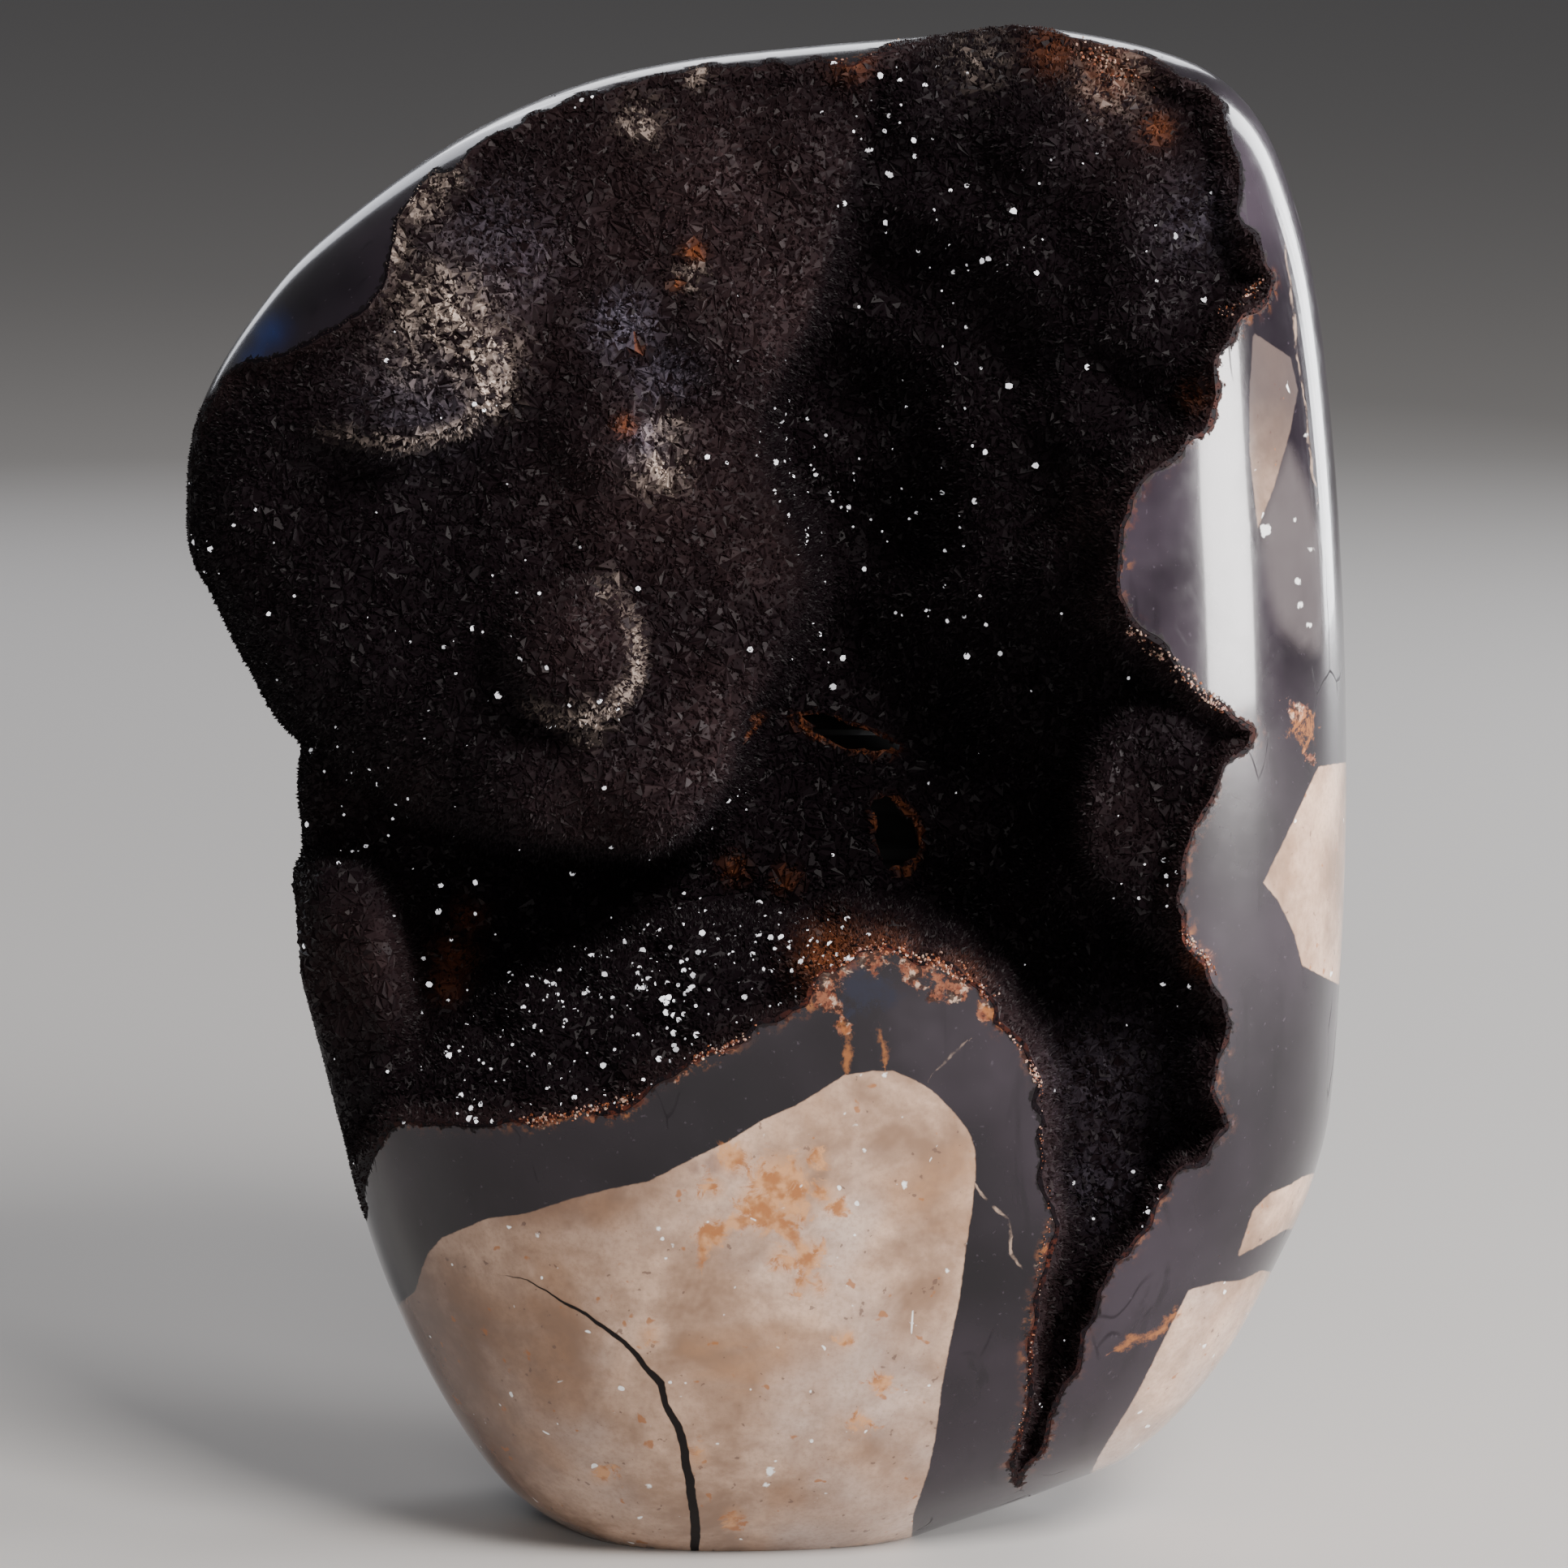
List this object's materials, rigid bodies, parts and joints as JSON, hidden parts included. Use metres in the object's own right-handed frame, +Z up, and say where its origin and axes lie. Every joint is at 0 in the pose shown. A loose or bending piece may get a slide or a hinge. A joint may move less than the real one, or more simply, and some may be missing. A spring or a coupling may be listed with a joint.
{
  "type": "polished septarian geode",
  "caption": "Upright polished freeform of mudstone and dark calcite with an open hollow lined with fine dark crystals; a display stone that stands on a small flat spot.",
  "frame": {"origin": "middle of the overall width and depth, at the flat spot the stone stands on", "axes": "+X to the right seen from the open side, +Y towards the closed back, +Z up"},
  "size_m": [0.1528, 0.0971, 0.1999],
  "materials": {
    "polished_stone": "polished mudstone blocks in dark slate-grey calcite",
    "dark_crystal": "fine glittering black-brown crystals"
  },
  "bodies": {
    "root": {"stone": "polished_stone", "crystal_crust": "dark_crystal"}
  },
  "joints": []
}
